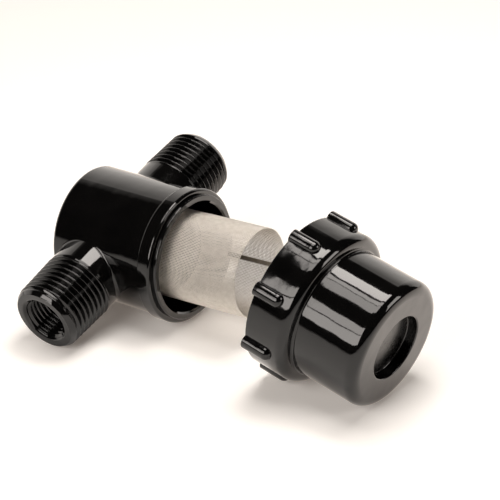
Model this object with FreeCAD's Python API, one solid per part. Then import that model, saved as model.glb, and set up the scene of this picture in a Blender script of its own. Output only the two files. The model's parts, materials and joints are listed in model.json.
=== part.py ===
import FreeCAD, Part
import math
import os
from FreeCAD import Vector

# Inline water strainer, opened for cleaning and lying on a bench.
# A moulded barrel, closed at its back and open at its mouth, has two pipe ports on one
# cross axis. A tube of woven wire stands on a hollow boss inside the barrel, and a lugged
# screw cap with a flat gasket lies beside the mouth.
# Sizes are in millimetres. In "axis" coordinates +X runs out of the mouth, the inlet
# points along -Y, the outlet along +Y, and the two axes cross at the origin.

# Barrel
BARREL_R = 18.75
BARREL_WALL = 2.55
BACK_X = 12.0
BACK_WALL = 3.0
BACK_ROUND = 1.2
MOUTH_X = 25.4
LIP_R = 18.3
LIP_LENGTH = 1.3
LIP_ROUND = 0.4
MOUTH_LEAD = 0.5
CHAMBER_ROUND = 1.0

# Ridge round the mouth
RIDGE_HEIGHT = 0.98
RIDGE_WIDTH = 4.4
RIDGE_BACK_ROUND = 0.4
RIDGE_FRONT_ROUND = 0.8

# Ports: 1/2 inch taper pipe thread outside, 1/4 inch taper pipe thread inside
PORT_REACH = 39.06
THREAD_PITCH = 1.814
THREAD_END_R = 10.36
THREAD_TAPER = 1.0 / 32.0
THREAD_DEPTH = 1.2
THREAD_LENGTH = 16.4
THREAD_CREST = 0.2
END_CHAMFER = 1.1
NECK_R = 10.75
NECK_FILLET = 0.9
TAP_R = 6.24
TAP_DEPTH = 15.0
SINK_R = 7.39
SINK_DEPTH = 1.2
PASSAGE_R = 4.2

# Hollow boss that carries the screen inside the barrel
BOSS_R = 13.8
BOSS_BORE_R = 9.4
BOSS_BORE_BACK_X = 6.0
BOSS_SUNK = 0.5
WEB_WALL = 1.4
SHOULDER_STEP = 0.1
SPIGOT_LENGTH = 13.4
SPIGOT_LEAD = 0.8

# Screen
SCREEN_R = 12.93
SCREEN_WALL = 0.26
SCREEN_LENGTH = 32.0
SCREEN_LEAN = 2.6
SCREEN_PIVOT_X = 19.5
SCREEN_OUT = 9.0
SEAM_WIDTH = 1.3
SEAM_HEIGHT = 0.3
SEAM_ANGLE = -122.0

# Coarse openings that stand for the screen's fine weave
OPENINGS_ROUND = 12
OPENINGS_ALONG = 6
RIB_WIDTH = 1.9
END_BAND = 1.6

# Cap
COLLAR_R = 22.25
COLLAR_WALL = 2.2
COLLAR_LENGTH = 13.1
SHOULDER_ROUND = 2.8
SHOULDER_WALL = 2.5
SHOULDER_FILLET = 0.7
BOWL_R = 18.65
BOWL_WALL = 2.45
CAP_LENGTH = 33.8
NOSE_ROUND = 3.05
NOSE_WALL = 3.0
CAP_EDGE_ROUND = 0.4
BOWL_ROUND = 1.0
RECESS_R = 9.4
RECESS_DEPTH = 3.2
RECESS_BACK_WALL = 2.4
STOP_RING_R = 12.8
STOP_RING_WALL = 2.4
STOP_RING_DEPTH = 22.8

# Grip lugs on the collar
LUG_COUNT = 8
LUG_TIP_R = 24.0
LUG_LENGTH = 9.2
LUG_TOP_WIDTH = 3.4
LUG_FOOT_WIDTH = 4.6
LUG_ROUND = 1.85
LUG_SPIN = 16.5

# Gasket
GASKET_INNER_R = 16.5
GASKET_THICKNESS = 1.6
GASKET_EDGE_GAP = 0.35

# Running and seating clearances
SPIGOT_GAP = 0.45
SEAT_GAP = 0.1
FACE_GAP = 0.05

# How far a cut runs past the face that it opens
OVERCUT = 1.0

# Where the cap lies on the bench, from the crossing of the axes
CAP_AWAY = 64.6
CAP_ASIDE = -5.4
CAP_YAW = -3.7

BARREL_BORE_R = BARREL_R - BARREL_WALL
RIDGE_R = BARREL_R + RIDGE_HEIGHT
RIDGE_FRONT_X = MOUTH_X - LIP_LENGTH
RIDGE_BACK_X = RIDGE_FRONT_X - RIDGE_WIDTH
WEB_R = PASSAGE_R + WEB_WALL
BOSS_TOP_X = WEB_R + SHOULDER_STEP
SCREEN_BORE_R = SCREEN_R - SCREEN_WALL
SPIGOT_R = SCREEN_BORE_R - SPIGOT_GAP
COLLAR_BORE_R = COLLAR_R - COLLAR_WALL
COLLAR_BORE_DEPTH = COLLAR_LENGTH - SHOULDER_WALL
BOWL_BORE_R = BOWL_R - BOWL_WALL
BOWL_DEPTH = CAP_LENGTH - NOSE_WALL
LUG_FOOT_R = COLLAR_BORE_R + COLLAR_WALL / 2

ORIGIN = Vector(0, 0, 0)
MAIN_AXIS = Vector(1, 0, 0)
PORT_AXIS = Vector(0, 1, 0)
UP = Vector(0, 0, 1)


def rounded_face(corners, across, out):
    """Flat closed outline. Each corner is (distance across, distance out, rounding)."""
    points = [across * c[0] + out * c[1] for c in corners]
    arcs = []
    for i, here in enumerate(points):
        before = (points[i - 1] - here).normalize()
        after = (points[(i + 1) % len(points)] - here).normalize()
        rounding = corners[i][2]
        if rounding == 0:
            arcs.append((here, here, here))
            continue
        half = before.getAngle(after) / 2
        reach = rounding / math.tan(half)
        inward = (before + after).normalize()
        middle = here + inward * (rounding / math.sin(half) - rounding)
        arcs.append((here + before * reach, middle, here + after * reach))
    edges = []
    for i, (enter, middle, leave) in enumerate(arcs):
        if enter.distanceToPoint(leave) > 1e-6:
            edges.append(Part.Arc(enter, middle, leave).toShape())
        following = arcs[(i + 1) % len(arcs)][0]
        if leave.distanceToPoint(following) > 1e-6:
            edges.append(Part.LineSegment(leave, following).toShape())
    return Part.Face(Part.Wire(edges))


def turned(corners, axis=MAIN_AXIS):
    """Solid turned about an axis from corners of (along, radius, rounding)."""
    return rounded_face(corners, axis, UP).revolve(ORIGIN, axis, 360)


def rod(radius, start, end, axis=MAIN_AXIS):
    """Plain round bar between two places on an axis."""
    return Part.makeCylinder(radius, end - start, axis * start, axis)


def barrel():
    return turned([
        (-BACK_X, 0, 0),
        (-BACK_X, BARREL_R, BACK_ROUND),
        (RIDGE_BACK_X, BARREL_R, 0),
        (RIDGE_BACK_X, RIDGE_R, RIDGE_BACK_ROUND),
        (RIDGE_FRONT_X, RIDGE_R, RIDGE_FRONT_ROUND),
        (RIDGE_FRONT_X, LIP_R, 0),
        (MOUTH_X, LIP_R, LIP_ROUND),
        (MOUTH_X, 0, 0),
    ])


def chamber():
    """Space inside the barrel, with a lead at the mouth."""
    return turned([
        (BACK_WALL - BACK_X, 0, 0),
        (BACK_WALL - BACK_X, BARREL_BORE_R, CHAMBER_ROUND),
        (MOUTH_X - MOUTH_LEAD, BARREL_BORE_R, 0),
        (MOUTH_X, BARREL_BORE_R + MOUTH_LEAD, 0),
        (MOUTH_X + OVERCUT, BARREL_BORE_R + MOUTH_LEAD, 0),
        (MOUTH_X + OVERCUT, 0, 0),
    ])


def crest_r(from_end):
    """Radius over the taper thread's crests, by the distance from the port's end."""
    return THREAD_END_R + from_end * THREAD_TAPER


def port(side):
    """Port with its outside thread as rings. side is -1 for the inlet, 1 for the outlet."""
    corners = [(BOSS_BORE_R, 0, 0), (BOSS_BORE_R, NECK_R, 0)]
    turns = int((THREAD_LENGTH - END_CHAMFER) / THREAD_PITCH)
    for turn in range(turns, 0, -1):
        from_end = END_CHAMFER + turn * THREAD_PITCH
        root = crest_r(from_end) - THREAD_DEPTH
        slope = (THREAD_PITCH - 2 * THREAD_CREST) / 2
        if turn == turns:
            corners.append((PORT_REACH - from_end - slope, NECK_R, 0))
        corners.append((PORT_REACH - from_end, root, 0))
        corners.append((PORT_REACH - from_end + THREAD_CREST, root, 0))
        peak = from_end - THREAD_CREST - slope
        corners.append((PORT_REACH - peak, crest_r(peak), 0))
        corners.append((PORT_REACH - peak + THREAD_CREST, crest_r(peak), 0))
    corners.append((PORT_REACH, crest_r(0) - END_CHAMFER, 0))
    corners.append((PORT_REACH, 0, 0))
    return turned(corners, PORT_AXIS * side)


def port_bore(side, inner_end):
    """Tapped mouth, thread bore and passage of one port, reaching in to inner_end."""
    axis = PORT_AXIS * side
    tap_end = PORT_REACH - TAP_DEPTH
    return turned([
        (inner_end, 0, 0),
        (inner_end, PASSAGE_R, 0),
        (tap_end - (TAP_R - PASSAGE_R), PASSAGE_R, 0),
        (tap_end, TAP_R, 0),
        (PORT_REACH - SINK_DEPTH, TAP_R, 0),
        (PORT_REACH, SINK_R, 0),
        (PORT_REACH + OVERCUT, SINK_R, 0),
        (PORT_REACH + OVERCUT, 0, 0),
    ], axis)


def boss():
    """Boss with the spigot that the screen stands on, and its web to the outlet wall."""
    column = turned([
        (BOSS_SUNK - BACK_X, 0, 0),
        (BOSS_SUNK - BACK_X, BOSS_R, 0),
        (BOSS_TOP_X, BOSS_R, 0),
        (BOSS_TOP_X, SPIGOT_R, 0),
        (BOSS_TOP_X + SPIGOT_LENGTH - SPIGOT_LEAD, SPIGOT_R, 0),
        (BOSS_TOP_X + SPIGOT_LENGTH, SPIGOT_R - SPIGOT_LEAD, 0),
        (BOSS_TOP_X + SPIGOT_LENGTH, 0, 0),
    ])
    return column.fuse(rod(WEB_R, BOSS_BORE_R, BARREL_R - BARREL_WALL / 2, PORT_AXIS))


def strainer_body():
    shell = barrel().fuse([port(-1), port(1)]).Solids[0]
    saddles = [edge for edge in shell.Edges if is_saddle(edge)]
    shell = shell.makeFillet(NECK_FILLET, saddles)
    body = shell.cut(chamber()).fuse(boss())
    body = body.cut(rod(BOSS_BORE_R, -BOSS_BORE_BACK_X, MOUTH_X))
    body = body.cut([port_bore(1, 0), port_bore(-1, (BOSS_R + BARREL_BORE_R) / 2)])
    return body.removeSplitter().Solids[0]


def is_saddle(edge):
    """True for the curved seams where a port's neck leaves the barrel."""
    box = edge.BoundBox
    beside = min(abs(box.YMin), abs(box.YMax)) > BARREL_R * 0.7
    return beside and max(abs(box.YMin), abs(box.YMax)) < BARREL_R + 0.01 and box.XLength > NECK_R


def screen():
    """Wire tube with its lap seam, drawn part-way out and leaning on the spigot's tip."""
    lean_drop = SCREEN_R * math.sin(math.radians(SCREEN_LEAN))
    start = BOSS_TOP_X + SEAT_GAP + lean_drop + SCREEN_OUT
    spigot_tip = BOSS_TOP_X + SPIGOT_LENGTH + SEAT_GAP
    tube = rod(SCREEN_R, start, start + SCREEN_LENGTH)
    tube = tube.cut(rod(SCREEN_BORE_R, start - OVERCUT, start + SCREEN_LENGTH + OVERCUT))
    lap_start = spigot_tip + SCREEN_OUT
    lap = Part.makeBox(start + SCREEN_LENGTH - lap_start, SEAM_WIDTH, SEAM_HEIGHT + SCREEN_WALL / 2)
    lap.translate(Vector(lap_start, -SEAM_WIDTH / 2, SCREEN_BORE_R - SEAM_HEIGHT))
    lap.rotate(ORIGIN, MAIN_AXIS, SEAM_ANGLE)
    tube = tube.cut(screen_openings(start)).fuse(lap).Solids[0]
    tube.rotate(MAIN_AXIS * SCREEN_PIVOT_X, UP, SCREEN_LEAN)
    return tube


def screen_openings(start):
    """Bars through the tube, with a rib left along the lap seam and a band at each end."""
    step = (SCREEN_LENGTH - 2 * END_BAND + RIB_WIDTH) / OPENINGS_ALONG
    width = 2 * math.pi * SCREEN_R / OPENINGS_ROUND - RIB_WIDTH
    bars = []
    for i in range(OPENINGS_ROUND // 2):
        angle = SEAM_ANGLE + (i + 0.5) * 360 / OPENINGS_ROUND
        for j in range(OPENINGS_ALONG):
            bar = Part.makeBox(step - RIB_WIDTH, width, 3 * SCREEN_R)
            bar.translate(Vector(start + END_BAND + j * step, -width / 2, -1.5 * SCREEN_R))
            bar.rotate(ORIGIN, MAIN_AXIS, angle)
            bars.append(bar)
    return bars


def lug():
    """One grip lug at the top of the collar, with a rounded top and a round inner end."""
    half = rounded_face([
        (0, LUG_FOOT_R, 0),
        (LUG_FOOT_WIDTH / 2, LUG_FOOT_R, 0),
        (LUG_TOP_WIDTH / 2, LUG_TIP_R, LUG_ROUND),
        (0, LUG_TIP_R, 0),
    ], PORT_AXIS, UP)
    whole = half.fuse(half.mirror(ORIGIN, PORT_AXIS)).removeSplitter()
    straight = LUG_LENGTH - LUG_FOOT_WIDTH / 2
    ridge = whole.extrude(MAIN_AXIS * straight)
    end = half.revolve(ORIGIN, UP, -180)
    end.translate(MAIN_AXIS * straight)
    return ridge.fuse(end)


def screw_cap():
    """Cap in its own coordinates, with the centre of its open rim at the origin."""
    floor_x = CAP_LENGTH - RECESS_DEPTH
    cup = turned([
        (0, COLLAR_BORE_R, CAP_EDGE_ROUND),
        (0, COLLAR_R, CAP_EDGE_ROUND),
        (COLLAR_LENGTH, COLLAR_R, SHOULDER_ROUND),
        (COLLAR_LENGTH, BOWL_R, SHOULDER_FILLET),
        (CAP_LENGTH, BOWL_R, NOSE_ROUND),
        (CAP_LENGTH, RECESS_R, CAP_EDGE_ROUND),
        (floor_x, RECESS_R, CAP_EDGE_ROUND),
        (floor_x, 0, 0),
        (floor_x - RECESS_BACK_WALL, 0, 0),
        (floor_x - RECESS_BACK_WALL, STOP_RING_R - STOP_RING_WALL, CAP_EDGE_ROUND),
        (STOP_RING_DEPTH, STOP_RING_R - STOP_RING_WALL, CAP_EDGE_ROUND),
        (STOP_RING_DEPTH, STOP_RING_R, CAP_EDGE_ROUND),
        (BOWL_DEPTH, STOP_RING_R, CAP_EDGE_ROUND),
        (BOWL_DEPTH, BOWL_BORE_R, BOWL_ROUND),
        (COLLAR_BORE_DEPTH, BOWL_BORE_R, 0),
        (COLLAR_BORE_DEPTH, COLLAR_BORE_R, 0),
    ])
    lugs = []
    for i in range(LUG_COUNT):
        one = lug()
        one.rotate(ORIGIN, MAIN_AXIS, LUG_SPIN + i * 360 / LUG_COUNT)
        lugs.append(one)
    return cup.fuse(lugs).removeSplitter().Solids[0]


def gasket():
    """Flat ring against the cap's inner shoulder, in the cap's own coordinates."""
    back = COLLAR_BORE_DEPTH - FACE_GAP
    ring = rod(COLLAR_BORE_R - GASKET_EDGE_GAP, back - GASKET_THICKNESS, back)
    return ring.cut(rod(GASKET_INNER_R, 0, back + OVERCUT))


def lean_angle(front, back):
    """Lean, in degrees, of a turned piece that rests on two rounded shoulders.
    Each shoulder is its rounding's (centre along, centre out, radius). A front that
    rises gives a positive lean."""
    along = front[0] - back[0]
    rise = front[1] - back[1]
    swing = math.asin((front[2] - back[2]) / math.hypot(along, rise))
    return math.degrees(math.atan2(rise, along) + swing)


def rest_body(shape):
    """Turns a piece of the barrel to how it lies: rolled onto the inlet, mouth slightly up."""
    foot = (RIDGE_BACK_X + RIDGE_BACK_ROUND, RIDGE_R - RIDGE_BACK_ROUND, RIDGE_BACK_ROUND)
    heel = (BACK_ROUND - BACK_X, BARREL_R - BACK_ROUND, BACK_ROUND)
    rise = math.radians(lean_angle(foot, heel))
    height = heel[1] * math.cos(rise) - heel[0] * math.sin(rise) + heel[2]
    tip_y = PORT_REACH - END_CHAMFER
    tip_r = crest_r(END_CHAMFER)
    roll = math.asin(height / math.cos(rise) / math.hypot(tip_y, tip_r)) - math.atan2(tip_r, tip_y)
    shape.rotate(ORIGIN, MAIN_AXIS, math.degrees(roll))
    shape.rotate(ORIGIN, PORT_AXIS, -math.degrees(rise))
    return shape


def rest_cap(shape):
    """Turns a piece of the cap to how it lies: on two lugs' inner ends and its nose."""
    step = 360 / LUG_COUNT
    off_bottom = math.radians(min((180 - LUG_SPIN) % step, step - (180 - LUG_SPIN) % step))
    side_lean = math.atan2(LUG_FOOT_WIDTH / 2 - LUG_TOP_WIDTH / 2, LUG_TIP_R - LUG_FOOT_R)
    flat = LUG_TOP_WIDTH / 2 - LUG_ROUND / math.tan((math.pi / 2 + side_lean) / 2)
    lug_down = (LUG_TIP_R - LUG_ROUND) * math.cos(off_bottom) + flat * math.sin(off_bottom)
    lug_end = (LUG_LENGTH - LUG_FOOT_WIDTH / 2 + flat, lug_down, LUG_ROUND)
    nose = (CAP_LENGTH - NOSE_ROUND, BOWL_R - NOSE_ROUND, NOSE_ROUND)
    shape.rotate(ORIGIN, PORT_AXIS, -lean_angle(nose, lug_end))
    shape.rotate(ORIGIN, UP, CAP_YAW)
    shape.translate(Vector(CAP_AWAY, CAP_ASIDE, 0))
    return shape


barrel_pieces = {
    "strainer_body": rest_body(strainer_body()),
    "mesh_screen": rest_body(screen()),
}
cap_pieces = {
    "screw_cap": rest_cap(screw_cap()),
    "cap_gasket": rest_cap(gasket()),
}


def set_down(pieces, lowest):
    """Lowers or lifts a group of pieces until its lowest point is on the bench."""
    down = Vector(0, 0, -lowest.optimalBoundingBox(False).ZMin)
    for shape in pieces.values():
        shape.translate(down)


set_down(barrel_pieces, barrel_pieces["strainer_body"])
set_down(cap_pieces, cap_pieces["screw_cap"])

# The part's origin is on the bench, under the middle of the whole group
everything = {**barrel_pieces, **cap_pieces}
box = Part.makeCompound(list(everything.values())).optimalBoundingBox(False)
middle = Vector(-(box.XMin + box.XMax) / 2, -(box.YMin + box.YMax) / 2, 0)

os.makedirs("parts", exist_ok=True)
for name, shape in everything.items():
    shape.translate(middle)
    shape.exportStep("parts/" + name + ".step")
    print(name, shape.isValid(), len(shape.Solids), round(shape.Volume, 1))
print("crossing of the axes", [round(v, 4) for v in middle])
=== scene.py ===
import math

import bmesh
import bpy
from mathutils import Matrix, Vector
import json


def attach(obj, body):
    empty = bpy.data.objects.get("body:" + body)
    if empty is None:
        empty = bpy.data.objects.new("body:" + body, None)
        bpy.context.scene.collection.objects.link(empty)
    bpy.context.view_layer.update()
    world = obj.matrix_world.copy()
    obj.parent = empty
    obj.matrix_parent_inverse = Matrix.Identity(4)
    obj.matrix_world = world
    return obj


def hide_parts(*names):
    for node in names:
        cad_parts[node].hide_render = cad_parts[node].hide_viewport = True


MM = 0.001
WHITE = (1, 1, 1, 1)

# Camera, in metres and degrees. Azimuth turns from the side of the inlet towards the cap.
CAMERA_TARGET = Vector((-0.01230, 0.01769, 0.0160))
CAMERA_AZIMUTH = 36.593
CAMERA_ELEVATION = 28.976
CAMERA_ROLL = -1.882
CAMERA_DISTANCE = 0.6149
CAMERA_FIELD = 13.446

# Light, in metres and degrees. A strip is one panel of a soft box, as its near and far side
# for the overhead box, or as its lowest and highest elevation from the light centre for the
# others, and its level.
LIGHT_CENTRE = Vector((0.030, -0.008, 0.030))
LIGHT_COLOUR = (1.0, 0.94, 0.89)
OVERHEAD_HEIGHT = 0.43
OVERHEAD_SIDES = (-0.088, 0.150)
OVERHEAD_STRIPS = ((-0.145, -0.044, 5.3), (-0.037, 0.007, 6.2), (0.030, 0.150, 10.5))
FRONT_AZIMUTHS = (-29.0, 10.0)
FRONT_STRIPS = ((12.5, 29.6, 6.1), (31.2, 44.5, 5.8))
FRONT_DISTANCE = 0.75
BACK_AZIMUTHS = (98.0, 124.0)
BACK_STRIPS = ((13.0, 34.0, 5.0),)
BACK_DISTANCE = 0.75
WORLD_LEVEL = 0.015

# Backdrop behind the object. It glows, and fades upwards by (share of its height, level).
BACKDROP_AZIMUTH = -131.0
BACKDROP_DISTANCE = 0.9
BACKDROP_HALF_WIDTH = 2.5
BACKDROP_HEIGHT = 1.1
BACKDROP_COLOUR = (1.0, 0.94, 0.88, 1)
BACKDROP_LEVEL = 1.6
BACKDROP_FADE = ((0.0, 1.0), (0.4, 0.93), (0.6, 0.71), (0.79, 0.45), (0.88, 0.14), (1.0, 0.0))

# Floor. The camera and reflections see its second colour and a glow. For reflections, that glow
# rises between two places along Y, given as (place, glow), as painted light from the lamp behind
# the object.
FLOOR_HALF_WIDTH = 6.0
FLOOR_COLOUR = (0.84, 0.815, 0.79, 1)
FLOOR_SEEN_COLOUR = (1.0, 0.995, 0.98, 1)
FLOOR_GLOW = 0.12
FLOOR_MIRRORED_PAINTED_LIGHT = ((-0.03, 0.0), (0.01, 0.65))
FLOOR_GLOW_COLOUR = (1.0, 0.84, 0.72, 1)

# Materials. The sizes of noise and the depths of bumps are in metres.
NOISE_SPAN = (0.3, 0.7)
PLASTIC_IOR = 1.53
PLASTIC_TONES = ((0.0012, 0.0011, 0.0011, 1), (0.0026, 0.0024, 0.0023, 1))
PLASTIC_TONE_SIZE = 0.009
PLASTIC_ROUGHNESS = (0.045, 0.085)
PLASTIC_ROUGHNESS_SIZE = 0.004
WAVE_SIZE = 0.006
WAVE_DEPTH = 0.000035
SKIN_SIZE = 0.0007
SKIN_DEPTH = 0.0000012
RUBBER_TONES = ((0.012, 0.012, 0.012, 1), (0.028, 0.027, 0.026, 1))
RUBBER_TONE_SIZE = 0.003
RUBBER_ROUGHNESS = (0.45, 0.68)
RUBBER_ROUGHNESS_SIZE = 0.0012
RUBBER_GRAIN_SIZE = 0.0003
RUBBER_GRAIN_DEPTH = 0.00002
WIRE_TONES = ((0.74, 0.70, 0.64, 1), (0.86, 0.82, 0.765, 1))
WIRE_ROUGHNESS = (0.4, 0.52)
# The lap strip's steel is painted dark brown, as painted shade inside the screen.
STRIP_SHADED_TONES = ((0.22, 0.19, 0.15, 1), (0.32, 0.28, 0.23, 1))
STRIP_ROUGHNESS = (0.35, 0.5)
STEEL_TONE_SIZE = 0.0015
STEEL_ROUGHNESS_SIZE = 0.0006

# Points nearer than this are one point, and points this near to a cut are on it, in metres
WELD = 1e-7
CUT_TOLERANCE = 1e-8

# Ports, in millimetres from each port's end. The sizes are those of the part.
PORT_REACH = 39.06
PORT_CUT = 17.16
NECK_R = 10.75
NECK_LAND = 0.25
END_R = 10.36
END_TAPER = 1 / 32
END_CHAMFER = 1.1
RIM_EDGE = 0.08
OUTER_PITCH = 1.814
OUTER_DEPTH = 1.2
OUTER_LENGTH = 16.4
LEAD_LENGTH = 1.9
LEAD_CURVE = 1.4
LEAD_FADE = 1.6
RUNOUT_SLOPE = 0.9
SINK_R = 7.39
SINK_DEPTH = 1.2
INNER_PITCH = 1.411
INNER_CREST_R = 5.95
INNER_DEPTH = 0.75
INNER_START = 0.12
INNER_LENGTH = 15.0
BORE_LAND = 0.05
PASSAGE_R = 4.2
PASSAGE_START = 17.04
PORT_COLUMNS = 160

# Rounded edges, as steps along the port and across it
SINK_EDGE = ((0.0, 0.2), (0.03, 0.07))
PASSAGE_EDGE = (0.1, 0.05)

# One turn of a port's threads, as (phase, height over the root)
THREAD_TURN = (
    (0.0, 1.0), (0.03, 1.0), (0.06, 0.96), (0.09, 0.885), (0.25, 0.5), (0.41, 0.115),
    (0.44, 0.04), (0.47, 0.0), (0.53, 0.0), (0.56, 0.04), (0.59, 0.115), (0.75, 0.5),
    (0.91, 0.885), (0.94, 0.96), (0.97, 1.0),
)

# Screen, in millimetres from the ports' axis, and degrees
SCREEN_R = 12.80
SCREEN_START = 15.39
SCREEN_LENGTH = 32.0
SCREEN_LEAN = 2.6
SCREEN_PIVOT = 19.5
LONG_WIRES = 180
RING_WIRES = 71
WIRE_R = 0.12
WIRE_CORNERS = (90, 210, 330)
WEAVE_STEP = 0.065

# Lap strip inside the screen. Its section is (share of half its width, share of its height).
SEAM_ANGLE = -32.0
SEAM_WIDTH = 1.3
SEAM_INNER_R = 12.40
SEAM_OUTER_R = 12.66
SEAM_START = 28.3
SEAM_STATIONS = 40
SEAM_SECTION = (
    (-1, 0.55), (-0.93, 0.9), (-0.7, 1.0), (0, 1.0), (0.7, 1.0), (0.93, 0.9), (1, 0.55),
    (1, 0.0), (-1, 0.0),
)

# Dull floor of the recess in the cap's end, in millimetres from the cap's open rim
RECESS_FLOOR = 30.6
DULL_REACH = 9.3
DULL_EDGE = 0.4
DULL_ROUGHNESS = 0.2

# Thread rib inside the cap, in millimetres from its open rim. Its section is (share of half
# its width, share of its height), and each end fades over one part in RIB_FADE.
RIB_PITCH = 6.0
RIB_TURNS = 1.15
RIB_START = 0.9
RIB_WALL_R = 20.06
RIB_HEIGHT = 0.26
RIB_WIDTH = 1.5
RIB_FADE = 12
RIB_STATIONS = 200
RIB_SECTION = (
    (-1, -0.02), (-0.75, 0.2), (-0.4, 0.9), (-0.2, 1.0), (0.2, 1.0), (0.4, 0.9), (0.75, 0.2),
    (1, -0.02),
)


def direction(azimuth, elevation):
    """Unit vector, by azimuth from the inlet's side towards the cap and by elevation."""
    a = math.radians(azimuth)
    e = math.radians(elevation)
    return Vector((math.sin(a) * math.cos(e), -math.cos(a) * math.cos(e), math.sin(e)))


def axes(origin, x, y):
    """Matrix of a piece's own axes, from millimetres to the frame's metres."""
    x = x.normalized()
    z = x.cross(y).normalized()
    y = z.cross(x)
    turn = Matrix((x, y, z)).transposed().to_4x4()
    return Matrix.Translation(origin) @ turn @ Matrix.Scale(MM, 4)


def add_object(name, data):
    thing = bpy.data.objects.new(name, data)
    bpy.context.scene.collection.objects.link(thing)
    return thing


def new_material(name):
    material = bpy.data.materials.new(name)
    material.use_nodes = True
    return material, material.node_tree.nodes, material.node_tree.links


def object_place(nodes):
    """Place on the piece, in metres."""
    return nodes.new("ShaderNodeTexCoord").outputs["Object"]


def add_math(nodes, links, operation, *values):
    """Result of an operation on values that are numbers or other nodes' outputs."""
    node = nodes.new("ShaderNodeMath")
    node.operation = operation
    for socket, value in zip(node.inputs, values):
        if isinstance(value, (int, float)):
            socket.default_value = value
        else:
            links.new(value, socket)
    return node.outputs[0]


def add_span(nodes, links, value, start, end, low, high):
    """Value that goes evenly from low to high as another goes from start to end."""
    span = nodes.new("ShaderNodeMapRange")
    span.inputs["From Min"].default_value = start
    span.inputs["From Max"].default_value = end
    span.inputs["To Min"].default_value = low
    span.inputs["To Max"].default_value = high
    links.new(value, span.inputs["Value"])
    return span.outputs["Result"]


def add_noise(nodes, links, size, detail, low=0, high=1):
    """Noise between two values, with lumps of about a size."""
    noise = nodes.new("ShaderNodeTexNoise")
    noise.inputs["Scale"].default_value = 1 / size
    noise.inputs["Detail"].default_value = detail
    links.new(object_place(nodes), noise.inputs["Vector"])
    return add_span(nodes, links, noise.outputs["Fac"], *NOISE_SPAN, low, high)


def add_bump(nodes, links, height, depth, under=None):
    """Normal of a bumpy skin, on top of another bump where one is given."""
    bump = nodes.new("ShaderNodeBump")
    bump.inputs["Distance"].default_value = depth
    links.new(height, bump.inputs["Height"])
    if under is not None:
        links.new(under, bump.inputs["Normal"])
    return bump.outputs["Normal"]


def add_blend(nodes, links, amount, colours):
    """Colour between two colours."""
    mix = nodes.new("ShaderNodeMix")
    mix.data_type = "RGBA"
    mix.inputs["A"].default_value = colours[0]
    mix.inputs["B"].default_value = colours[1]
    links.new(amount, mix.inputs["Factor"])
    return mix.outputs["Result"]


def add_spot(nodes, links, centre, reach, edge):
    """1 near a place on the piece, fading to 0 over the outer edge of its reach, in metres."""
    apart = nodes.new("ShaderNodeVectorMath")
    apart.operation = "DISTANCE"
    apart.inputs[1].default_value = centre
    links.new(object_place(nodes), apart.inputs[0])
    return add_span(nodes, links, apart.outputs["Value"], reach - edge, reach, 1, 0)


def gloss_plastic(name, dull_centre=None):
    """Glossy black moulding: faint sink waves, a finer skin and slightly uneven gloss, and
    a dull spot round a place where one is given."""
    material, nodes, links = new_material(name)
    shader = nodes["Principled BSDF"]
    shader.inputs["IOR"].default_value = PLASTIC_IOR
    tone = add_noise(nodes, links, PLASTIC_TONE_SIZE, detail=3)
    links.new(add_blend(nodes, links, tone, PLASTIC_TONES), shader.inputs["Base Color"])
    low, high = PLASTIC_ROUGHNESS
    rough = add_noise(nodes, links, PLASTIC_ROUGHNESS_SIZE, 4, low, high)
    if dull_centre is not None:
        spot = add_spot(nodes, links, dull_centre, DULL_REACH * MM, DULL_EDGE * MM)
        rough = add_math(nodes, links, "MULTIPLY_ADD", spot, DULL_ROUGHNESS, rough)
    links.new(rough, shader.inputs["Roughness"])
    waves = add_bump(nodes, links, add_noise(nodes, links, WAVE_SIZE, detail=1), WAVE_DEPTH)
    skin = add_bump(nodes, links, add_noise(nodes, links, SKIN_SIZE, detail=2), SKIN_DEPTH, waves)
    links.new(skin, shader.inputs["Normal"])
    return material


def plain_rubber(name):
    """Dull black rubber with a fine grain."""
    material, nodes, links = new_material(name)
    shader = nodes["Principled BSDF"]
    tone = add_noise(nodes, links, RUBBER_TONE_SIZE, detail=4)
    links.new(add_blend(nodes, links, tone, RUBBER_TONES), shader.inputs["Base Color"])
    low, high = RUBBER_ROUGHNESS
    rough = add_noise(nodes, links, RUBBER_ROUGHNESS_SIZE, 3, low, high)
    links.new(rough, shader.inputs["Roughness"])
    grain = add_noise(nodes, links, RUBBER_GRAIN_SIZE, detail=3)
    links.new(add_bump(nodes, links, grain, RUBBER_GRAIN_DEPTH), shader.inputs["Normal"])
    return material


def steel(name, tones, roughness):
    """Stainless wire or strip, a little uneven in tone and polish along its length. The tones
    given for the lap strip are dark, as painted shade.
    """
    material, nodes, links = new_material(name)
    shader = nodes["Principled BSDF"]
    shader.inputs["Metallic"].default_value = 1.0
    tone = add_noise(nodes, links, STEEL_TONE_SIZE, detail=4)
    links.new(add_blend(nodes, links, tone, tones), shader.inputs["Base Color"])
    low, high = roughness
    rough = add_noise(nodes, links, STEEL_ROUGHNESS_SIZE, 3, low, high)
    links.new(rough, shader.inputs["Roughness"])
    return material


def dress(piece, material):
    piece.data.materials.clear()
    piece.data.materials.append(material)


def make_piece(name, matrix, points, faces, material, body):
    """Smooth mesh piece from points in a piece's own millimetres."""
    mesh = bpy.data.meshes.new(name)
    mesh.from_pydata([matrix @ Vector(p) for p in points], [], faces)
    piece = add_object(name, mesh)
    form = bmesh.new()
    form.from_mesh(mesh)
    bmesh.ops.remove_doubles(form, verts=form.verts, dist=WELD)
    bmesh.ops.recalc_face_normals(form, faces=form.faces)
    form.to_mesh(mesh)
    form.free()
    mesh.polygons.foreach_set("use_smooth", [True] * len(mesh.polygons))
    mesh.materials.append(material)
    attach(piece, body)
    return piece


def grid_faces(columns, rows):
    """Quads of a grid of points kept column after column."""
    faces = []
    for i in range(columns - 1):
        for j in range(rows - 1):
            a = i * rows + j
            faces.append((a, a + 1, a + rows + 1, a + rows))
    return faces


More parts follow.
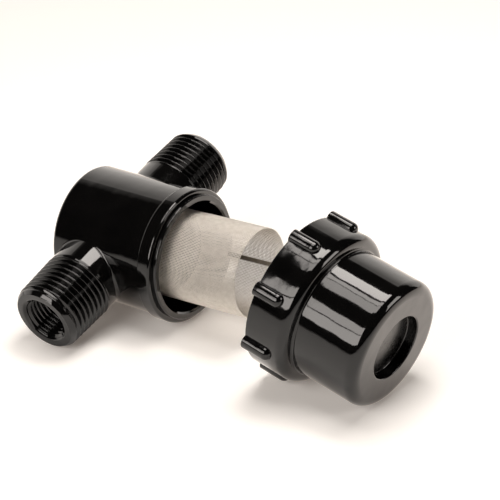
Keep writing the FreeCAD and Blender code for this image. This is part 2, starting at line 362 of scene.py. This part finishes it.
def thread_height(phase):
    """Height over the root, from 0 to 1, at a phase of the turn."""
    phase %= 1.0
    turn = THREAD_TURN + ((1.0, 1.0),)
    for (p, h), (q, k) in zip(turn, turn[1:]):
        if phase <= q:
            return h + (k - h) * (phase - p) / (q - p)
    return 1.0


def thread_stations(start, end, pitch, angle):
    """Distances of the thread's rows from the port's end at an angle round it, from a turn
    before the start to past the end, and held between the two."""
    shift = -angle / (2 * math.pi)
    base = math.floor(start / pitch) - 1
    turns = int((end - start) / pitch) + 4
    stations = []
    for turn in range(turns):
        for phase, _ in THREAD_TURN:
            s = (base + turn + phase + shift) * pitch
            stations.append(min(max(s, start), end))
    return stations


def outer_radius(s, angle):
    """Outside of the port: its thread fades in past the chamfer and runs out at the neck."""
    phase = s / OUTER_PITCH + angle / (2 * math.pi)
    crest = END_R + s * END_TAPER
    depth = OUTER_DEPTH * min(1, max(0, (s - LEAD_LENGTH / 2) / LEAD_FADE))
    radius = crest - depth * (1 - thread_height(phase))
    runout = NECK_R - (OUTER_LENGTH - s) * RUNOUT_SLOPE
    chamfer = END_CHAMFER * (1 - min(1, s / LEAD_LENGTH)) ** LEAD_CURVE
    return min(max(radius, runout), crest - chamfer)


def inner_radius(s, angle):
    """Inside of the port: its thread, or the countersink where that is wider."""
    phase = s / INNER_PITCH + angle / (2 * math.pi)
    radius = INNER_CREST_R + INNER_DEPTH * (1 - thread_height(phase))
    sink = SINK_R - (SINK_R - INNER_CREST_R) * s / SINK_DEPTH
    return max(radius, sink)


def port_profile(angle):
    """Points of the port at an angle round it, as (distance from its end, radius), from the
    cut over the outside and the end to the cut again through the bore."""
    profile = [(PORT_CUT, NECK_R), (PORT_CUT - NECK_LAND, NECK_R)]
    for s in reversed(thread_stations(0.0, OUTER_LENGTH, OUTER_PITCH, angle)):
        profile.append((s, outer_radius(s, angle)))
    edge = END_R - END_CHAMFER
    profile.append((0, edge - RIM_EDGE))
    profile.append((0, (edge + SINK_R) / 2))
    for along, across in SINK_EDGE:
        profile.append((along, SINK_R + across))
    for s in thread_stations(INNER_START, INNER_LENGTH, INNER_PITCH, angle):
        profile.append((s, inner_radius(s, angle)))
    profile.append((INNER_LENGTH + BORE_LAND, INNER_CREST_R))
    profile.append((PASSAGE_START - PASSAGE_EDGE[0], PASSAGE_R + PASSAGE_EDGE[1]))
    profile.append((PORT_CUT, PASSAGE_R))
    return profile


def threaded_port(name, matrix, material):
    """Port's threaded end: thread outside, chamfered end, countersink and tapped bore."""
    points = []
    for i in range(PORT_COLUMNS + 1):
        angle = 2 * math.pi * i / PORT_COLUMNS
        profile = port_profile(angle)
        across = Vector((0, math.cos(angle), math.sin(angle)))
        points += [Vector((PORT_REACH - s, 0, 0)) + across * r for s, r in profile]
    faces = grid_faces(PORT_COLUMNS + 1, len(profile))
    return make_piece(name, matrix, points, faces, material, "body")


def barrel_shell(node, cut_planes, material):
    """The moulding without the threaded ends of its ports."""
    mesh = node.data.copy()
    piece = add_object("barrel_shell", mesh)
    piece.matrix_world = node.matrix_world
    form = bmesh.new()
    form.from_mesh(mesh)
    for place, outward in cut_planes:
        bmesh.ops.bisect_plane(
            form, geom=form.verts[:] + form.edges[:] + form.faces[:], dist=CUT_TOLERANCE,
            plane_co=place, plane_no=outward, clear_outer=True)
    form.to_mesh(mesh)
    form.free()
    dress(piece, material)
    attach(piece, "body")
    return piece


def add_wire(points, faces, path, closed):
    """Three-sided wire along a path of (centre, outward, sideways)."""
    base = len(points)
    for centre, outward, sideways in path:
        for corner in WIRE_CORNERS:
            a = math.radians(corner)
            points.append(centre + (outward * math.sin(a) + sideways * math.cos(a)) * WIRE_R)
    count = len(path)
    sides = len(WIRE_CORNERS)
    for i in range(count if closed else count - 1):
        here = base + sides * i
        there = base + sides * ((i + 1) % count)
        for k in range(sides):
            m = (k + 1) % sides
            faces.append((here + k, here + m, there + m, there + k))


def round_axis(angle):
    """Outward and sideways directions at an angle round a piece's own axis."""
    outward = Vector((0, math.cos(angle), math.sin(angle)))
    sideways = Vector((0, -math.sin(angle), math.cos(angle)))
    return outward, sideways


def weave_side(wire, ring):
    """1 where a long wire passes outside a ring, and -1 where it passes inside."""
    return 1 if (wire + ring) % 2 else -1


def long_wires(matrix, material):
    """The screen's long wires. Every other station of a wire is at a ring."""
    points = []
    faces = []
    for wire in range(LONG_WIRES):
        outward, sideways = round_axis(2 * math.pi * wire / LONG_WIRES)
        path = []
        for i in range(2 * RING_WIRES + 1):
            x = SCREEN_START + SCREEN_LENGTH * i / (2 * RING_WIRES)
            over = weave_side(wire, i // 2) if i % 2 else 0
            centre = Vector((x, 0, 0)) + outward * (SCREEN_R + over * WEAVE_STEP)
            path.append((centre, outward, sideways))
        add_wire(points, faces, path, False)
    return make_piece("screen_long_wires", matrix, points, faces, material, "screen")


def ring_wires(matrix, material):
    """The screen's rings. Every other station of a ring is at a long wire."""
    points = []
    faces = []
    along = Vector((1, 0, 0))
    for ring in range(RING_WIRES):
        x = SCREEN_START + SCREEN_LENGTH * (ring + 0.5) / RING_WIRES
        path = []
        for i in range(2 * LONG_WIRES):
            outward = round_axis(math.pi * i / LONG_WIRES)[0]
            over = 0 if i % 2 else -weave_side(i // 2, ring)
            centre = along * x + outward * (SCREEN_R + over * WEAVE_STEP)
            path.append((centre, outward, along))
        add_wire(points, faces, path, True)
    return make_piece("screen_ring_wires", matrix, points, faces, material, "screen")


def screen_seam(matrix, material):
    """Lap strip along the inside of the tube, with rounded long edges."""
    turn = math.radians(SEAM_ANGLE)
    length = SCREEN_START + SCREEN_LENGTH - SEAM_START
    points = []
    for i in range(SEAM_STATIONS + 1):
        x = SEAM_START + length * i / SEAM_STATIONS
        for across, height in SEAM_SECTION:
            r = SEAM_OUTER_R - (SEAM_OUTER_R - SEAM_INNER_R) * height
            a = turn + across * SEAM_WIDTH / 2 / r
            points.append(Vector((x, r * math.cos(a), r * math.sin(a))))
    count = len(SEAM_SECTION)
    faces = []
    for i in range(SEAM_STATIONS):
        for j in range(count):
            k = (j + 1) % count
            faces.append((i * count + j, i * count + k, (i + 1) * count + k, (i + 1) * count + j))
    faces.append(tuple(range(count)))
    faces.append(tuple(SEAM_STATIONS * count + j for j in range(count)))
    return make_piece("screen_seam", matrix, points, faces, material, "screen")


def cap_thread(matrix, material):
    """Low right-hand rib inside the collar, fading in and out at its ends."""
    points = []
    for i in range(RIB_STATIONS + 1):
        part = i / RIB_STATIONS
        a = -2 * math.pi * RIB_TURNS * part
        fade = min(1, RIB_FADE * part, RIB_FADE * (1 - part))
        for along, height in RIB_SECTION:
            x = RIB_START + RIB_PITCH * RIB_TURNS * part + along * RIB_WIDTH / 2
            r = RIB_WALL_R - height * RIB_HEIGHT * fade
            points.append(Vector((x, r * math.cos(a), r * math.sin(a))))
    faces = grid_faces(RIB_STATIONS + 1, len(RIB_SECTION))
    return make_piece("cap_thread", matrix, points, faces, material, "cap")


def add_camera():
    camera = bpy.data.cameras.new("camera")
    holder = add_object("camera", camera)
    away = direction(CAMERA_AZIMUTH, CAMERA_ELEVATION)
    turn = away.to_track_quat("Z", "Y").to_matrix()
    roll = Matrix.Rotation(math.radians(CAMERA_ROLL), 3, "Z")
    holder.matrix_world = (turn @ roll).to_4x4()
    holder.location = CAMERA_TARGET + away * CAMERA_DISTANCE
    camera.sensor_fit = "HORIZONTAL"
    camera.angle = math.radians(CAMERA_FIELD)
    bpy.context.scene.camera = holder


def add_panel(name, centre, facing, width, height, level):
    """Soft box of one even level, with its height running upwards or along +Y."""
    light = bpy.data.lights.new(name, "AREA")
    light.shape = "RECTANGLE"
    light.size = width
    light.size_y = height
    light.energy = level * math.pi * width * height
    light.color = LIGHT_COLOUR
    holder = add_object(name, light)
    holder.rotation_euler = facing.to_track_quat("-Z", "Y").to_euler()
    holder.location = centre


def add_side_box(name, azimuths, strips, distance):
    """Upright soft box of a few strips, one above the other."""
    middle = (azimuths[0] + azimuths[1]) / 2
    width = 2 * distance * math.tan(math.radians(azimuths[1] - azimuths[0]) / 2)
    out = direction(middle, 0)
    for i, (low, high, level) in enumerate(strips):
        bottom = distance * math.tan(math.radians(low))
        top = distance * math.tan(math.radians(high))
        centre = LIGHT_CENTRE + out * distance + Vector((0, 0, (bottom + top) / 2))
        add_panel(name + str(i), centre, -out, width, top - bottom, level)


def add_overhead():
    """Level soft box of a few strips, one behind the other."""
    x = sum(OVERHEAD_SIDES) / 2
    width = OVERHEAD_SIDES[1] - OVERHEAD_SIDES[0]
    for i, (near, far, level) in enumerate(OVERHEAD_STRIPS):
        centre = Vector((x, (near + far) / 2, OVERHEAD_HEIGHT))
        add_panel("overhead" + str(i), centre, Vector((0, 0, -1)), width, far - near, level)


def add_sheet(name, corners, material):
    """Flat sheet of the set, from its four corners."""
    mesh = bpy.data.meshes.new(name)
    mesh.from_pydata(corners, [], [(0, 1, 2, 3)])
    mesh.materials.append(material)
    return add_object(name, mesh)


def floor_material():
    """Diffuse floor that the camera sees a little lighter, as clear white, and so do reflections,
    with painted light that grows towards the lamp behind the object."""
    material, nodes, links = new_material("floor")
    nodes.clear()
    rays = nodes.new("ShaderNodeLightPath")
    mirrored = rays.outputs["Is Glossy Ray"]
    surface = nodes.new("ShaderNodeBsdfDiffuse")
    surface.inputs["Color"].default_value = FLOOR_COLOUR
    seen = nodes.new("ShaderNodeBsdfDiffuse")
    seen.inputs["Color"].default_value = FLOOR_SEEN_COLOUR
    split = nodes.new("ShaderNodeSeparateXYZ")
    links.new(object_place(nodes), split.inputs[0])
    # Painted light for reflections: the floor's glow rises towards the lamp behind the object.
    (near, low), (far, high) = FLOOR_MIRRORED_PAINTED_LIGHT
    level = nodes.new("ShaderNodeMix")
    level.inputs["A"].default_value = FLOOR_GLOW
    links.new(add_span(nodes, links, split.outputs["Y"], near, far, low, high), level.inputs["B"])
    links.new(mirrored, level.inputs["Factor"])
    glow = nodes.new("ShaderNodeEmission")
    glow.inputs["Color"].default_value = FLOOR_GLOW_COLOUR
    links.new(level.outputs["Result"], glow.inputs["Strength"])
    total = nodes.new("ShaderNodeAddShader")
    links.new(seen.outputs[0], total.inputs[0])
    links.new(glow.outputs[0], total.inputs[1])
    pick = nodes.new("ShaderNodeMixShader")
    either = add_math(nodes, links, "MAXIMUM", rays.outputs["Is Camera Ray"], mirrored)
    links.new(either, pick.inputs[0])
    links.new(surface.outputs[0], pick.inputs[1])
    links.new(total.outputs[0], pick.inputs[2])
    out = nodes.new("ShaderNodeOutputMaterial")
    links.new(pick.outputs[0], out.inputs["Surface"])
    return material


def backdrop_material():
    """Glow that fades upwards."""
    material, nodes, links = new_material("backdrop")
    nodes.clear()
    split = nodes.new("ShaderNodeSeparateXYZ")
    links.new(object_place(nodes), split.inputs[0])
    fade = nodes.new("ShaderNodeValToRGB")
    stops = fade.color_ramp.elements
    stops[0].color = (BACKDROP_FADE[0][1],) * 3 + (1,)
    stops[1].color = (BACKDROP_FADE[-1][1],) * 3 + (1,)
    for height, level in BACKDROP_FADE[1:-1]:
        stops.new(height).color = (level,) * 3 + (1,)
    share = add_math(nodes, links, "DIVIDE", split.outputs["Z"], BACKDROP_HEIGHT)
    links.new(share, fade.inputs["Fac"])
    strength = add_math(nodes, links, "MULTIPLY", fade.outputs["Color"], BACKDROP_LEVEL)
    glow = nodes.new("ShaderNodeEmission")
    glow.inputs["Color"].default_value = BACKDROP_COLOUR
    links.new(strength, glow.inputs["Strength"])
    out = nodes.new("ShaderNodeOutputMaterial")
    links.new(glow.outputs[0], out.inputs["Surface"])
    return material


def add_floor():
    size = FLOOR_HALF_WIDTH
    corners = [(-size, -size, 0), (size, -size, 0), (size, size, 0), (-size, size, 0)]
    floor = add_sheet("floor", corners, floor_material())


def add_backdrop():
    out = direction(BACKDROP_AZIMUTH, 0)
    side = Vector((-out.y, out.x, 0)) * BACKDROP_HALF_WIDTH
    foot = out * BACKDROP_DISTANCE
    top = foot + Vector((0, 0, BACKDROP_HEIGHT))
    corners = [foot - side, foot + side, top + side, top - side]
    backdrop = add_sheet("backdrop", corners, backdrop_material())


def add_world():
    world = bpy.data.worlds.new("world")
    world.use_nodes = True
    background = world.node_tree.nodes["Background"]
    background.inputs["Color"].default_value = WHITE
    background.inputs["Strength"].default_value = WORLD_LEVEL
    bpy.context.scene.world = world


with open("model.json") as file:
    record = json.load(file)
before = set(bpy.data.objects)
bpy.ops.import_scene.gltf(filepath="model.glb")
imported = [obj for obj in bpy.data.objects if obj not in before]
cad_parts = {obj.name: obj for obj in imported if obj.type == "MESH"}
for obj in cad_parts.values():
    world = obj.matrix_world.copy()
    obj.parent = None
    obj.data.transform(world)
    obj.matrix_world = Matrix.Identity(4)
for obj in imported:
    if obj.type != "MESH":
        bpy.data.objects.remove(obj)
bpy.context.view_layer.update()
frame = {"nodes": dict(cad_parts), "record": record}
add_camera()
add_floor()
add_backdrop()
add_overhead()
add_side_box("front", FRONT_AZIMUTHS, FRONT_STRIPS, FRONT_DISTANCE)
add_side_box("back", BACK_AZIMUTHS, BACK_STRIPS, BACK_DISTANCE)
add_world()
bpy.context.scene.view_settings.view_transform = "Standard"

# The barrel's, the screen's and the cap's own axes, from the joints and mounts
pieces = frame["nodes"]
joints = {joint["name"]: joint for joint in frame["record"]["behaviour"]["joints"]}
mounts = {mount["name"]: mount for mount in frame["record"]["mounts"]}
main_axis = Vector(joints["thread_travel"]["axis"])
outlet_axis = Vector(mounts["outlet_tap"]["axis"])
crossing = (Vector(mounts["inlet_tap"]["pos_m"]) + Vector(mounts["outlet_tap"]["pos_m"])) / 2
body_axes = axes(crossing, main_axis, outlet_axis)
lean = Matrix.Rotation(math.radians(SCREEN_LEAN), 4, "Z")
pivot = Matrix.Translation((SCREEN_PIVOT, 0, 0))
screen_axes = body_axes @ pivot @ lean @ pivot.inverted()
cap_axis = Vector(joints["cap_turn"]["axis"])
cap_origin = Vector(joints["cap_turn"]["pos_m"])
cap_axes = axes(cap_origin, cap_axis, Vector((-cap_axis.y, cap_axis.x, 0)))

black = gloss_plastic("black_plastic")
cap_black = gloss_plastic("cap_plastic", cap_axes @ Vector((RECESS_FLOOR, 0, 0)))
wire = steel("wire", WIRE_TONES, WIRE_ROUGHNESS)
# The strip's dark tones are painted shade.
strip = steel("strip", STRIP_SHADED_TONES, STRIP_ROUGHNESS)

# Body: the ports' threaded ends are new, and the rest is the moulding's own surface
planes = []
for name, axis in (("inlet", -outlet_axis), ("outlet", outlet_axis)):
    up = main_axis.cross(axis)
    threaded_port(name + "_thread", axes(crossing, axis, up), black)
    planes.append((crossing + axis * (PORT_REACH - PORT_CUT) * MM, axis))
shell = barrel_shell(pieces["strainer_body"], planes, black)
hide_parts("strainer_body")

# Screen
wires = long_wires(screen_axes, wire)
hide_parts("mesh_screen")
ring_wires(screen_axes, wire)
screen_seam(screen_axes, strip)

# Cap and its gasket
dress(pieces["screw_cap"], cap_black)
cap_thread(cap_axes, black)
dress(pieces["cap_gasket"], plain_rubber("rubber"))
